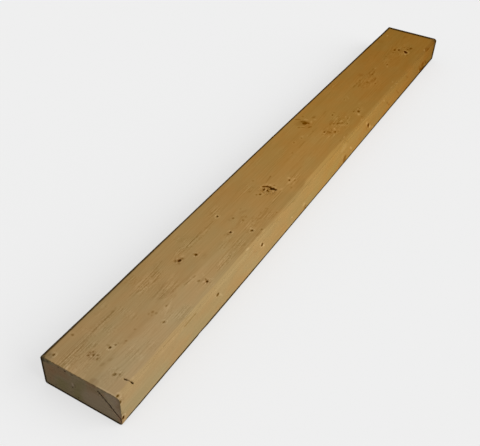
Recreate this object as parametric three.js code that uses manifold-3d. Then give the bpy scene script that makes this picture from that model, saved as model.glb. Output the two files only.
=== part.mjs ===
import * as THREE from 'three';
import { mergeVertices } from 'three/addons/utils/BufferGeometryUtils.js';
import Module from 'manifold-3d';

// A short length of planed softwood with eased edges, lying on its wide face.
// Sizes are in millimetres. +X runs along the grain, from the split end to the sound end, +Y is
// across the wide face and +Z is up. The origin is in the middle of the underside.

// The planed stock
const plankLength = 880;
const plankWidth = 89;
const plankThickness = 38;
const arrisRadius = 3;
const arrisSteps = 6;

// The split in the corner of one end: it starts just under the top face and opens out through the
// right-hand edge. Each point is [distance in from the right-hand edge, distance below the top face].
const splitMouth = 0.9;
const splitDepth = 6;
const splitLine = [[23.5, 3.5], [14.5, 14.2], [7, 21.4], [2.5, 26], [-1, 28.4]];

// The short cracks across the grain of the top face, just behind the split.
const crossCrackFromEnd = 19.3;
const crossCrackDepth = 2.6;
const crossCracks = [
  { fromRight: 9.2, length: 5.6, mouth: 1.5, turn: 4 },
  { fromRight: 2.6, length: 5.2, mouth: 1.6, turn: -8 },
  { fromRight: 5.6, length: 5, mouth: 0.7, turn: 0 },
];

// The broken knot: a crescent pocket on the side away from the split end, and crumbled pits
// inside it.
const knotFromEnd = 327.5;
const knotFromRight = 37;
const knotRadius = 9.8;
const crescentWidth = 3.2;
const crescentDepth = 3.5;
const crescentHalfAngle = 60;
const crescentTurn = 6;
const knotPitDepth = 2;
const knotPits = [
  { ahead: -1, across: 4, length: 4.2, mouth: 2.4, turn: 70 },
  { ahead: -0.5, across: -1.6, length: 3.4, mouth: 1.8, turn: 60 },
  { ahead: 6.2, across: -5, length: 5.5, mouth: 3.6, turn: 20 },
];

// Pin knots that have dropped out of the top face. left is the distance from the left-hand edge.
const pinDepth = 3;
const pinTaper = 0.55;
const pinSides = 12;
const topPins = [
  { fromEnd: 39.8, left: 46.3, across: 2.4 },
  { fromEnd: 91.4, left: 69.6, across: 2.6 },
  { fromEnd: 158.6, left: 74.6, across: 2.4 },
  { fromEnd: 186.8, left: 43.6, across: 2.6 },
  { fromEnd: 237, left: 55.2, across: 2.2 },
  { fromEnd: 253.2, left: 28.6, across: 2.3 },
  { fromEnd: 253, left: 73.4, across: 2.6 },
  { fromEnd: 316.2, left: 48.9, across: 2.4 },
  { fromEnd: 360.6, left: 64.8, across: 2.8 },
  { fromEnd: 568, left: 71, across: 3.6 },
  { fromEnd: 796, left: 62, across: 4 },
];

// The same in the right-hand edge. below is the distance below the top face.
const edgePins = [
  { fromEnd: 157.4, below: 9.2, across: 3.4 },
  { fromEnd: 249.6, below: 10.8, across: 3.4 },
];

// Corners knocked off the split end. The chip is a faceted bite centred just outside the corner.
const chipOutside = 1.6;
const chips = [
  { side: 1, radius: 4.6, stretch: [1, 1.1, 0.9] },
  { side: -1, radius: 3.4, stretch: [1.15, 0.8, 0.9] },
];

// How far every cutter stands clear of the face it enters.
const cutterOverrun = 1;

const splitEnd = -plankLength / 2;
const leftEdge = plankWidth / 2;
const rightEdge = -plankWidth / 2;
const along = new THREE.Vector3(1, 0, 0);
const up = new THREE.Vector3(0, 0, 1);
const outOfRightEdge = new THREE.Vector3(0, -1, 0);
const outOfSplitEnd = new THREE.Vector3(-1, 0, 0);

const wasm = await Module();
wasm.setup();

function toSolid(geometry) {
  geometry.deleteAttribute('normal');
  geometry.deleteAttribute('uv');
  const merged = mergeVertices(geometry, 1e-4);
  return new wasm.Manifold(new wasm.Mesh({
    numProp: 3,
    vertProperties: merged.attributes.position.array,
    triVerts: new Uint32Array(merged.index.array),
  }));
}

function toGeometry(solid) {
  const mesh = solid.getMesh();
  const geometry = new THREE.BufferGeometry();
  geometry.setAttribute('position', new THREE.BufferAttribute(mesh.vertProperties, 3));
  geometry.setIndex(new THREE.BufferAttribute(mesh.triVerts, 1));
  geometry.computeVertexNormals();
  return geometry;
}

// Moves a geometry so that its own Y points along outward and its own Z along forward.
function place(geometry, origin, outward, forward) {
  const side = new THREE.Vector3().crossVectors(outward, forward).normalize();
  const basis = new THREE.Matrix4().makeBasis(side, outward, forward).setPosition(origin);
  return geometry.applyMatrix4(basis);
}

function roundedSection() {
  const y = plankWidth / 2 - arrisRadius;
  const low = arrisRadius;
  const high = plankThickness - arrisRadius;
  const quarter = Math.PI / 2;
  const section = new THREE.Shape();
  section.absarc(y, high, arrisRadius, 0, quarter);
  section.absarc(-y, high, arrisRadius, quarter, 2 * quarter);
  section.absarc(-y, low, arrisRadius, 2 * quarter, 3 * quarter);
  section.absarc(y, low, arrisRadius, 3 * quarter, 4 * quarter);
  return section;
}

function plankStock() {
  const geometry = new THREE.ExtrudeGeometry(roundedSection(), {
    depth: plankLength,
    curveSegments: arrisSteps,
    bevelEnabled: false,
  });
  const start = new THREE.Vector3(splitEnd, 0, 0);
  const basis = new THREE.Matrix4().makeBasis(new THREE.Vector3(0, 1, 0), up, along);
  return toSolid(geometry.applyMatrix4(basis.setPosition(start)));
}

// A V-shaped cut from start to end, open towards outward.
function groove(start, end, outward, mouth, depth) {
  const half = mouth / 2 * (depth + cutterOverrun) / depth;
  const vee = new THREE.Shape();
  vee.moveTo(0, -depth);
  vee.lineTo(half, cutterOverrun);
  vee.lineTo(-half, cutterOverrun);
  const forward = new THREE.Vector3().subVectors(end, start);
  const run = forward.length();
  forward.normalize();
  const origin = start.clone().addScaledVector(forward, -mouth / 2);
  const geometry = new THREE.ExtrudeGeometry(vee, { depth: run + mouth, bevelEnabled: false });
  return toSolid(place(geometry, origin, outward, forward));
}

// A crack that closes to a point at both ends and is deepest in the middle.
function sliver(centre, outward, forward, length, mouth, depth) {
  const geometry = new THREE.OctahedronGeometry(1).scale(mouth / 2, depth, length / 2);
  return toSolid(place(geometry, centre, outward, forward));
}

// A round hole that narrows with depth.
function pinHole(mouthCentre, outward, across) {
  const deep = pinDepth + cutterOverrun;
  const widest = across / 2;
  const geometry = new THREE.CylinderGeometry(widest, widest * pinTaper, deep, pinSides);
  geometry.translate(0, cutterOverrun - deep / 2, 0);
  return toSolid(place(geometry, mouthCentre, outward, along));
}

function onTop(fromEnd, y) {
  return new THREE.Vector3(splitEnd + fromEnd, y, plankThickness);
}

// The direction on the top face that is turned by so many degrees from straight across the grain.
function acrossGrain(turn) {
  const angle = THREE.MathUtils.degToRad(turn);
  return new THREE.Vector3(Math.sin(angle), Math.cos(angle), 0);
}

function endSplitCutters() {
  const corners = splitLine.map(([fromRight, below]) => (
    new THREE.Vector3(splitEnd, rightEdge + fromRight, plankThickness - below)
  ));
  return corners.slice(1).map((corner, index) => (
    groove(corners[index], corner, outOfSplitEnd, splitMouth, splitDepth)
  ));
}

function crossCrackCutters() {
  return crossCracks.map(({ fromRight, length, mouth, turn }) => {
    const centre = onTop(crossCrackFromEnd, rightEdge + fromRight);
    return sliver(centre, up, acrossGrain(turn), length, mouth, crossCrackDepth);
  });
}

// The crescent lies between the knot's rim and a flatter arc through the same two tips.
function crescentShape() {
  const half = THREE.MathUtils.degToRad(crescentHalfAngle);
  const halfChord = knotRadius * Math.sin(half);
  const rise = knotRadius * (1 - Math.cos(half)) - crescentWidth;
  const innerRadius = (halfChord ** 2 + rise ** 2) / (2 * rise);
  const innerCentre = knotRadius * Math.cos(half) + rise - innerRadius;
  const innerHalf = Math.asin(halfChord / innerRadius);
  const crescent = new THREE.Shape();
  crescent.absarc(0, 0, knotRadius, -half, half);
  crescent.absarc(innerCentre, 0, innerRadius, innerHalf, -innerHalf, true);
  return crescent;
}

function brokenKnotCutters() {
  const middle = onTop(knotFromEnd, rightEdge + knotFromRight);
  const geometry = new THREE.ExtrudeGeometry(crescentShape(), {
    depth: crescentDepth + cutterOverrun,
    curveSegments: 10,
    bevelEnabled: false,
  });
  geometry.rotateZ(THREE.MathUtils.degToRad(crescentTurn));
  geometry.translate(middle.x, middle.y, middle.z - crescentDepth);
  const pits = knotPits.map(({ ahead, across, length, mouth, turn }) => {
    const centre = onTop(knotFromEnd + ahead, middle.y + across);
    return sliver(centre, up, acrossGrain(turn), length, mouth, knotPitDepth);
  });
  return [toSolid(geometry), ...pits];
}

function pinHoleCutters() {
  const inTop = topPins.map(({ fromEnd, left, across }) => (
    pinHole(onTop(fromEnd, leftEdge - left), up, across)
  ));
  const inEdge = edgePins.map(({ fromEnd, below, across }) => (
    pinHole(
      new THREE.Vector3(splitEnd + fromEnd, rightEdge, plankThickness - below),
      outOfRightEdge,
      across,
    )
  ));
  return [...inTop, ...inEdge];
}

function chipCutters() {
  return chips.map(({ side, radius, stretch }) => {
    const bite = new THREE.IcosahedronGeometry(radius).scale(...stretch);
    bite.rotateX(side);
    bite.translate(
      splitEnd - chipOutside,
      side * (plankWidth / 2 + chipOutside),
      plankThickness + chipOutside,
    );
    return toSolid(bite);
  });
}

const cutters = [
  ...endSplitCutters(),
  ...crossCrackCutters(),
  ...brokenKnotCutters(),
  ...pinHoleCutters(),
  ...chipCutters(),
];
const plankSolid = cutters.reduce((solid, cutter) => solid.subtract(cutter), plankStock());

const timber = new THREE.MeshStandardMaterial({
  color: 0xb08a53,
  roughness: 0.75,
  metalness: 0,
  flatShading: true,
});

const plank = new THREE.Mesh(toGeometry(plankSolid), timber);
plank.name = 'plank';

const model = new THREE.Group();
model.add(plank);

export default model;
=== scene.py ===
"""A short length of planed softwood, 38 x 89 mm, lying flat on a pale studio floor.

Lengths are in millimetres until a mesh, lamp or camera is made; MM turns them into metres.
A place on the plank is given by how far it is from the split end (x), and how far it is from the
left-hand edge on the top face (v) or below the top face on the right-hand edge (down).
"""
import math

import bmesh
import bpy
import numpy as np
from mathutils import Matrix, Vector


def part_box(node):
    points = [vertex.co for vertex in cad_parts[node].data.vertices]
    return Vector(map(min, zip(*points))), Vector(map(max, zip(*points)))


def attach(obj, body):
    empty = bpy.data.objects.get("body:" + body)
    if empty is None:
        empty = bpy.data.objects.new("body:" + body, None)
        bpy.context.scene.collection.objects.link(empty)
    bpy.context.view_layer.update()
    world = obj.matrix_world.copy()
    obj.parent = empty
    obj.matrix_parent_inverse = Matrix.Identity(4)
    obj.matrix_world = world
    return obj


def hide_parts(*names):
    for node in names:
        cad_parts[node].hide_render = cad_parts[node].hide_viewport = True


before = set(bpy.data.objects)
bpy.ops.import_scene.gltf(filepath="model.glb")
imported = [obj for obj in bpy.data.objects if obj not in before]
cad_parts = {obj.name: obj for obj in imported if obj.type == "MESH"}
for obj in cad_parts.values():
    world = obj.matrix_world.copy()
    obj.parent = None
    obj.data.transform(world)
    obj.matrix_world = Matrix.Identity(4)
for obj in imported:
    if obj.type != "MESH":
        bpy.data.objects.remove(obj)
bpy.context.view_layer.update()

MM = 0.001
LOW, HIGH = [np.array(corner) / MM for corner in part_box("plank")]
LENGTH, WIDTH, THICK = (HIGH - LOW).tolist()

# ---- places on the plank

TOP, EDGE, END = "top", "right edge", "split end"
# Each face's own corner, the two directions across it that a mark is placed and measured along,
# and the direction out of it.
FACES = {
    TOP: np.array([(LOW[0], HIGH[1], HIGH[2]), (1, 0, 0), (0, -1, 0), (0, 0, 1)]),
    EDGE: np.array([(LOW[0], LOW[1], HIGH[2]), (1, 0, 0), (0, 0, -1), (0, -1, 0)]),
    END: np.array([(LOW[0], HIGH[1], HIGH[2]), (0, -1, 0), (0, 0, -1), (-1, 0, 0)]),
}
# How far off its face a mark still counts, and its distance from whatever is further off.
OFF_FACE, FAR = 6, 99.0


def place_on(face, a, b):
    """A point by x and v on the top, by x and down on the edge, or by v and down on the end."""
    corner, along, across, _ = FACES[face]
    return corner + a * along + b * across


class Mark:
    """An oval mark on one face: its centre, its two half widths, its turn and what it does."""

    def __init__(self, face, a, b, long, wide, dark=1, turn=0, pit=0):
        self.face, self.dark, self.pit = face, dark, pit
        self.centre = place_on(face, a, b)
        self.half = (long / 2, wide / 2)
        self.turn = math.radians(turn)

    def local(self, points):
        """Each point's place along and across the mark, and its height off the face."""
        _, along, across, out = FACES[self.face]
        offset = points - self.centre
        a, b = offset @ along, offset @ across
        c, s = math.cos(self.turn), math.sin(self.turn)
        return a * c + b * s, b * c - a * s, offset @ out

    def rim(self, points):
        """About how far each point lies outside the mark's rim, negative inside it."""
        a, b, height = self.local(points)
        reach = np.sqrt((a / self.half[0]) ** 2 + (b / self.half[1]) ** 2) + 1e-6
        outside = np.maximum(np.hypot(a, b) * (1 - 1 / reach), -min(self.half))
        return np.where(np.abs(height) < OFF_FACE, outside, FAR)


# Knots and flecks. Each is x, v, length, width and darkness, then its turn if it has one, and the
# depth of its hollow if it is open.
TOP_KNOTS = [
    (497.6, 20.4, 3, 5.6, 0.5, -5), (521.6, 62, 4.4, 2.2, 0.42, 40),
    (7.4, 9.8, 2.2, 1.4, 0.85, 0, 0.3), (5, 6.4, 3, 1.2, 0.2, 20), (34, 8.2, 1.8, 3.2, 0.5, 10),
    (23, 36, 2, 1.3, 0.6, 40, 0.2), (25.6, 39.6, 2.4, 1.3, 0.75, -40, 0.3),
    (28.4, 37.2, 1.8, 1, 0.45, -30), (27.4, 43, 2.6, 1.1, 0.65, 40),
    (24, 45.2, 2.2, 0.9, 0.5, -20, 0.2), (22, 41, 1, 1.8, 0.2), (26.4, 35.4, 1.2, 1.8, 0.5),
    (21.6, 53, 5, 2, 0.22, 10), (29.6, 55.4, 4.6, 2, 0.2, 15), (18.6, 68.6, 3.6, 2.6, 0.6, 0, 0.3),
    (21.2, 72.4, 2, 1.4, 0.5, -30), (20.4, 74.6, 1.6, 1, 0.2), (40.3, 46.4, 2.2, 1.8, 1, 0, 0.6),
    (41.4, 43.4, 2.6, 1.6, 0.28, 70), (45.2, 48.7, 2, 1.3, 0.75, 30, 0.3),
    (48.4, 49.8, 1.8, 1.2, 0.25, 20), (50.5, 54, 1.6, 1.4, 0.45, 20), (54, 53.8, 2, 1.6, 0.42, 20),
    (69.6, 52.2, 3, 1.4, 0.35, 30), (91.4, 69.6, 3, 1.8, 0.65, 15, 0.3),
    (89.4, 67.2, 1.8, 1, 0.2, -20), (96, 53.2, 3.2, 2.2, 0.4, -10), (92, 51.6, 2.4, 1.2, 0.3, -20),
    (92, 55, 1.8, 1.4, 0.25), (96.4, 57, 3, 2, 0.35), (109.4, 59.6, 3, 1.2, 0.42),
    (155.6, 67.1, 3.6, 1.8, 0.5, 10), (159.3, 74.4, 2.9, 2.3, 1, 0, 0.8),
    (161.2, 71.8, 2.6, 1.5, 0.5, -45), (158.4, 60.1, 3.6, 1.2, 0.4, 10),
    (170, 33.9, 4.6, 2.7, 1, 5, 0.8), (167, 30.4, 3.2, 2, 0.4, -25, 0.2),
    (174.4, 34.8, 3, 2.2, 0.4, 40), (165.6, 36.4, 3, 1.6, 0.25, -20),
    (187.1, 43.3, 3.1, 2.9, 0.86, 0, 0.3), (186.9, 41, 2.4, 1.4, 0.25, 20), (192, 44.6, 2, 1, 0.15),
    (238.2, 54.8, 2.6, 2.3, 1, 0, 1), (233.8, 54.4, 2.4, 2, 0.25, 60),
    (230.6, 52, 2.4, 1.2, 0.25, 30), (253.9, 28.3, 2.4, 2, 0.95, 0, 1.2),
    (243.6, 28, 2.4, 1.2, 0.2, -20), (253.9, 73.1, 3, 2.2, 0.8, 0, 0.9),
    (261, 45, 2.8, 2, 0.5, -10), (256, 42.6, 2.4, 1.4, 0.2, -30), (263.6, 41.6, 2, 1.2, 0.2, 30),
    (280.4, 43.4, 2.6, 1.2, 0.25), (264, 56, 3, 1.6, 0.4, -20), (271, 53.4, 2.4, 1.4, 0.25, 20),
    (271.4, 55.8, 4.6, 1.2, 0.25, -20), (261.4, 81.4, 3.2, 2.4, 0.42),
    (287, 66.2, 3, 1.4, 0.25, -20), (297, 66.4, 2.2, 1.6, 0.25, 60), (297.4, 69, 3, 1.6, 0.3),
    (297.5, 81.2, 3, 1.4, 0.42, -15), (318, 30.8, 2.4, 1.4, 0.2, 30), (315, 36, 3.4, 2, 0.25, 20),
    (324, 34.4, 2.4, 1.2, 0.2, 30), (336.4, 28.4, 3.4, 1.8, 0.38),
    (317.3, 48.7, 3.2, 2.6, 0.7, 0, 0.6), (314.2, 45.6, 2.8, 1.6, 0.4, -20),
    (324, 47.6, 1.4, 2.6, 0.3, 10), (343, 54.4, 2.4, 1.6, 0.5),
    (362.3, 64.7, 3.4, 1.8, 0.7, -25, 0.5), (366, 70.4, 5.6, 1.2, 0.4, -8),
    (371.6, 67.4, 3.6, 1.2, 0.35, -10), (350, 73.6, 4.4, 1.4, 0.28, -5),
    (356, 41.8, 4, 1.4, 0.25, -15), (418, 40.8, 4, 1.2, 0.3, -15),
    (441.5, 31.4, 3.6, 1.3, 0.5, -10), (457, 35, 3, 1.2, 0.4, -20), (493.8, 21.8, 6.8, 5, 0.62, 30),
    (495.8, 16.8, 3.2, 4.4, 0.42, 10), (497.2, 25, 3, 4.6, 0.48, -10),
    (498, 8.8, 8.5, 2.8, 0.36, 52), (479.6, 20, 4.2, 2, 0.35, 25), (482.8, 24, 4.4, 1.6, 0.4, 45),
    (489.6, 31.8, 6.4, 2.6, 0.35, 25), (509.2, 11.4, 3, 2, 0.35), (515.4, 24.8, 7, 2.6, 0.25, 20),
    (481.4, 39.8, 5, 1.4, 0.2, -8), (489, 53.4, 4.8, 1.8, 0.5, -25, 0.2),
    (495.4, 52.8, 3.4, 1.2, 0.25), (482.6, 56.8, 2.8, 1.3, 0.15, -20), (492, 60, 3.4, 7.6, 0.3, 8),
    (500, 59, 5, 1.2, 0.25, -25), (497.4, 65.8, 5.4, 2.5, 0.56, -20, 0.2),
    (501, 68.8, 4, 1.5, 0.22, -10), (481, 80.8, 3.4, 1.2, 0.25, -10),
    (511.6, 52.6, 6, 2.4, 0.22, 10), (516, 55, 3.2, 3, 0.36, 30), (519.8, 60, 3.4, 2.4, 0.5, 30),
    (523.8, 63.4, 5, 2.6, 0.36, 20), (531, 63.6, 3.6, 1.1, 0.35, -20), (538, 52.4, 3, 2, 0.25, 20),
    (527, 71, 5, 1.4, 0.5, -15), (515.6, 72.2, 5.4, 1.2, 0.25, -10),
    (541, 65.8, 4.4, 1.1, 0.3, -15), (544, 60.6, 4, 1.2, 0.25, -15),
    (548, 67.8, 3.6, 1.1, 0.25, -15), (537, 44.3, 4.6, 1.8, 0.5, -15), (545, 43.2, 3.2, 1.4, 0.3),
    (556, 80.6, 3.6, 1.4, 0.3), (563.6, 65.4, 4.4, 1.6, 0.4, -15),
    (567.8, 70.9, 4.8, 3.2, 0.64, -10, 0.2), (576, 69.2, 3.6, 1.2, 0.3, -10),
    (589, 40, 5, 1.2, 0.3, -20), (635, 36.4, 12, 1.6, 0.2), (646, 35.8, 7, 1.4, 0.25, -12),
    (658, 36.2, 4, 1.3, 0.3, -15), (643, 41.4, 16, 1.6, 0.32, -4), (652, 39.4, 6, 1.2, 0.25, -15),
    (640, 49, 6, 1.8, 0.22), (658.6, 48.6, 6.5, 4, 0.3, -10), (662, 59.8, 4, 1.8, 0.34, -8),
    (668, 52.8, 9, 1.6, 0.18, 5), (676.6, 54.2, 8, 1.8, 0.33, -5), (683.4, 43, 5, 1.4, 0.15, 10),
    (688.6, 44.8, 7, 1.8, 0.36, -8), (697.4, 44.4, 6, 1.4, 0.3, -10), (690, 39.4, 6, 1.3, 0.2, -8),
    (706, 39.2, 8, 1.3, 0.28), (734.6, 52, 5.4, 1.9, 0.48, -10), (750, 41.8, 7, 1.3, 0.2, -12),
    (762, 39.8, 5, 1.6, 0.32, -10), (756, 50.6, 6, 1.3, 0.28, -5), (783, 44.6, 5, 2.8, 0.3, 30),
    (794, 43.2, 8, 3, 0.5, -10), (798.4, 48.8, 7, 2.8, 0.58, -10),
    (795.4, 62.4, 6.2, 5, 0.92, 0, 1), (798.4, 59.8, 4.6, 3.8, 0.92, -30, 0.9),
    (786, 67.6, 6, 1.4, 0.3, -8), (808.6, 60.4, 5, 2.6, 0.4, -10), (803.4, 67.4, 4, 1.6, 0.25, -10),
    (816, 63.8, 6.6, 3.2, 0.44, 5), (813, 53.6, 5, 2, 0.4), (2.3, 84.8, 2.8, 1.4, 1),
]
# The same on the right-hand edge, by x and down.
EDGE_KNOTS = [
    (157, 9, 4.6, 3.8, 0.7, 20, 0.8), (250.1, 10.6, 4.6, 3.6, 0.9, 30, 0.9),
    (566.4, 15.4, 6, 4.6, 0.7, 45, 0.5), (569.6, 19, 6, 4.2, 0.7, 45, 0.5),
    (1.9, 27.2, 2.4, 3.4, 1, 0, 1), (0.8, 3.9, 1.4, 3, 0.72),
]
# The same on the split end, by v and down.
END_KNOTS = [
    (38.2, 16.8, 1.2, 4.6, 0.45), (34.6, 21.2, 1.4, 2.4, 0.75, 25, 0.2),
    (8.7, 2.6, 3, 1.8, 0.6, -20), (28.6, 2.9, 2.4, 1.6, 0.9, 0, 0.2), (36.3, 2.7, 3.2, 1.5, 0.6),
    (46.5, 1.9, 2, 1.4, 0.5), (21.2, 2.3, 2.4, 1.4, 0.7), (40, 32.4, 1.4, 3.2, 0.6, 25, 0.2),
    (13.8, 32, 1.6, 2.6, 0.45, 25), (65, 10, 1.2, 3.4, 0.3, 25), (32, 30, 1, 2.4, 0.3, 25),
]

# Lighter flecks and rims, where the grain turns up round a knot, as x, v, length, width, amount
# and turn. So are the tables after this one.
TOP_LIGHTS = [
    (109.5, 62.2, 27, 1.6, 0.35, -17), (224, 84.6, 6, 2.2, 0.6), (246, 84.2, 3, 1.4, 0.4),
    (680.6, 86.6, 4, 1.8, 0.4), (664.4, 85, 5, 1.4, 0.3, -8), (339.2, 52, 1.6, 7, 0.6),
    (337.8, 45.2, 1.6, 6, 0.45, -32), (333.2, 41.4, 1.4, 5, 0.45, -60),
    (338.2, 59, 1.6, 5, 0.8, 20), (331.6, 50, 2.4, 1.4, 0.35, 30), (164, 75, 1.6, 8, 0.3, -25),
    (0.9, 75, 1.8, 22, 0.5), (23.4, 39, 3, 1.3, 0.9, -50), (26, 42, 3, 1.2, 0.6, 40),
    (26, 37, 3, 1, 0.55), (30, 35, 3, 1.2, 0.3), (23, 71, 3, 2.4, 0.5, 40),
    (23.5, 84.4, 3, 2.4, 0.3), (5.4, 84, 2.4, 2.4, 0.45, 60), (46.4, 75.4, 7, 1.1, 0.35),
    (45, 77.6, 6, 1.1, 0.35), (107, 59.4, 5, 2.2, 0.35, -20), (106, 63, 12, 1.1, 0.3, -25),
    (166, 66, 5, 1.2, 0.25, -60), (163.6, 71, 2.6, 1.2, 0.25, -60), (157.4, 79, 3, 1.2, 0.3, 40),
    (177, 32.8, 4, 2, 0.5, 20), (256.6, 70.4, 3.4, 2.8, 1, -30), (262, 79.4, 5, 1.4, 0.3),
    (260.6, 84.2, 4, 1.5, 0.5), (328, 50.2, 6.4, 1.6, 0.8), (332.2, 47.8, 3.2, 1.6, 0.8, 50),
    (328, 56.2, 5, 1.4, 0.6, 20), (331.2, 58.8, 3.6, 1.8, 0.85, 30),
    (340.4, 47.4, 2.6, 8, 0.6, -20), (331.6, 41.4, 5, 1.6, 0.45, 10),
    (365.8, 62.2, 3.4, 2.2, 0.9, -25), (357.6, 67, 4, 2.2, 0.7, -40),
    (368.6, 68.6, 6.4, 1.5, 0.65, -5), (360, 72, 9, 1.4, 0.45), (340.6, 64.8, 4, 2.6, 0.5, 30),
    (503.6, 18.6, 5, 6.4, 0.4, -20), (502.6, 27.6, 6, 2.6, 0.35, -25),
    (485.8, 24.2, 3.4, 1.8, 0.35, 50), (511.6, 29.2, 4, 3, 0.3), (461.4, 33.2, 4, 2.4, 0.3),
    (468, 38.6, 4, 1.4, 0.25, -15), (485.2, 55.2, 4, 1.6, 0.6, -30),
    (503.6, 62.4, 8, 2.4, 0.6, -30), (488.6, 68, 7, 1.8, 0.35, -8), (505, 67.4, 4, 1.3, 0.3, -15),
    (492.4, 81.2, 6, 1.5, 0.5, -15), (519.4, 66.6, 3.6, 8, 0.3, -40), (528.4, 61, 7, 2, 0.55, 10),
    (535, 68.4, 8, 1.4, 0.5, -15), (547, 66.4, 4, 2.4, 0.25, 30), (543, 61.6, 4.4, 1.5, 0.6, -20),
    (560.6, 74, 6.2, 3.4, 0.6, -35), (573.6, 67.4, 5, 2, 0.35, -20), (549, 83.4, 6, 1.8, 0.45, -8),
    (597, 42, 9, 1.3, 0.3, -45), (588, 42, 4, 1.2, 0.3, -15), (589, 63.2, 5, 1.2, 0.25),
    (661, 42.4, 5, 1.6, 0.3), (665, 48, 5, 1.6, 0.35, -8), (674, 50, 6, 1.4, 0.25, -10),
    (660, 55.4, 6, 1.4, 0.25, -5), (676, 56.8, 5, 1.4, 0.25), (681, 41.6, 6, 1.4, 0.3, -8),
    (692, 41.6, 10, 1.4, 0.35), (690.4, 47.6, 6, 1.4, 0.3, -5), (711, 41.2, 7, 1.4, 0.35, -5),
    (682, 80.4, 6, 1.8, 0.35, -12), (728, 54.8, 7, 1.8, 0.4, -15), (788.6, 63.2, 6, 3.2, 0.65, -30),
    (802, 45.6, 4, 3, 0.3, 50), (803.6, 57.6, 4, 3, 0.15), (798, 66.2, 14, 1.3, 0.2, -10),
    (811, 55.6, 6, 2, 0.25, 10), (790, 52, 5, 1.4, 0.25), (843, 12, 6, 2, 0.5, -10),
    (824, 84.6, 9, 2, 0.65, -10),
]
# The same on the right-hand edge, by x and down.
EDGE_LIGHTS = [
    (227, 3, 7, 1.4, 0.4, 35), (163, 14, 9, 2.2, 0.45, 45), (506, 22, 14, 3, 0.35, 40),
    (590, 31, 12, 3, 0.3, 35), (476, 20, 4, 10, 0.15, -20), (800, 27, 12, 2.2, 0.35, 40),
    (152, 7, 3, 4, 0.25, -20), (164, 16, 12, 1.4, 0.25, 45), (246.2, 6.8, 4.4, 2.6, 1, 45),
    (254, 14.4, 4.8, 2.6, 1, 50), (558.6, 9.4, 11, 4, 0.45, 45), (575.5, 22.4, 11, 4, 0.65, 40),
    (476, 6, 20, 12, 0.15), (326, 23, 8, 1.8, 0.6, 45), (359, 25, 9, 5, 0.45, 30),
    (625, 3.6, 10, 2, 0.35, 28),
]

# Places where the saw left the fibres rough.
ROUGH_PATCHES = [
    (12, 26, 40, 14, 0.65), (34, 31, 14, 10, 0.7, 30), (11, 41, 12, 14, 0.5, 30),
    (25, 41, 10, 15, 0.75), (10, 67, 10, 14, 0.4), (21, 69, 10, 16, 0.8), (50, 21.5, 66, 7, 0.7),
    (47, 26, 12, 8, 0.4), (56, 32, 10, 14, 0.5), (46, 70, 16, 18, 0.5), (62, 76, 16, 14, 0.4),
    (82, 33, 8, 30, 0.5), (44, 13, 8, 8, 0.4), (77, 9, 10, 10, 0.5), (66, 11, 6, 6, 0.4),
    (105, 64, 16, 16, 0.4, -30), (112, 80, 26, 16, 0.6), (120, 9, 18, 14, 0.6),
    (127, 25, 40, 16, 0.8), (128, 49, 30, 16, 0.7), (145, 42, 16, 8, 0.4), (149, 59, 20, 8, 0.6, 8),
    (158, 75, 10, 14, 0.7), (150, 19, 14, 6, 0.6, -15), (188, 27, 26, 10, 0.75, 8),
    (200, 17, 12, 18, 0.5, -30), (213, 30, 44, 8, 0.8), (196, 74, 34, 10, 0.9),
    (226, 73, 20, 12, 0.7), (218, 62, 30, 12, 0.5, -15), (260, 21, 24, 10, 0.6),
    (268, 68, 34, 12, 0.7), (287, 75, 18, 12, 0.7), (266, 55, 18, 8, 0.5, -15),
    (318, 31, 22, 12, 0.5, -15), (330, 52, 24, 22, 0.6), (366, 68, 30, 12, 0.6),
    (494, 61, 30, 20, 0.6), (528, 61, 44, 22, 0.7), (570, 68, 24, 14, 0.4),
    (628, 8, 30, 10, 0.4, -15), (670, 47, 70, 26, 0.38), (755, 45, 50, 14, 0.4, -5),
    (800, 54, 50, 30, 0.5),
]

# Soft brown stains round groups of knots, and along the lower arris.
TOP_STAINS = [
    (239, 81.2, 6, 1.4, 0.28), (250, 81.4, 7, 1.2, 0.28), (169.8, 33.6, 10.5, 7, 0.36, 8),
    (24.5, 40.5, 10, 13, 0.22), (26, 54, 26, 4, 0.07, 3), (72, 54.5, 36, 5, 0.07),
    (86, 56, 12, 7, 0.06, 30), (3, 59, 8, 9, 0.42), (8, 72, 24, 32, 0.13), (2.5, 88, 6, 6, 0.28),
    (44, 20, 56, 9, 0.07), (169, 34.5, 13, 9, 0.3, 10), (186.6, 43.4, 8, 8, 0.22),
    (166, 46, 46, 26, 0.06, -20), (158.8, 74.6, 8, 9, 0.22), (236, 55, 9, 7, 0.2),
    (125, 41.6, 34, 2.4, 0.16, -2), (118, 48.8, 24, 2.6, 0.2, 4), (126, 53.5, 16, 5, 0.2),
    (190, 52, 10, 5, 0.14, -25), (254, 56, 16, 3, 0.12, -8), (260, 43, 12, 5, 0.12),
    (278, 48.8, 14, 3.6, 0.18, 25), (300, 17, 60, 16, 0.05), (330, 52, 22, 22, 0.16),
    (364, 78, 24, 12, 0.08), (400, 57.5, 60, 3, 0.1), (348, 42.6, 24, 2, 0.14, -6),
    (487, 14.5, 9, 9, 0.2), (494.6, 20.5, 15, 18, 0.34, 8), (486.6, 28.5, 9, 7, 0.22, 45),
    (490, 59, 8, 16, 0.14, -40), (518, 50, 14, 3, 0.22, -10), (521, 60, 8, 14, 0.16, -50),
    (518, 25, 8, 4, 0.24), (533, 34, 20, 3, 0.16, -20), (567, 70.6, 10, 8, 0.22),
    (676, 31, 10, 9, 0.2), (670, 53, 30, 6, 0.16), (690, 42, 36, 8, 0.12),
    (797, 55, 12, 14, 0.22, 30), (813, 62, 14, 12, 0.22), (812, 10, 14, 12, 0.1),
    (855, 40, 12, 5, 0.14),
]
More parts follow.
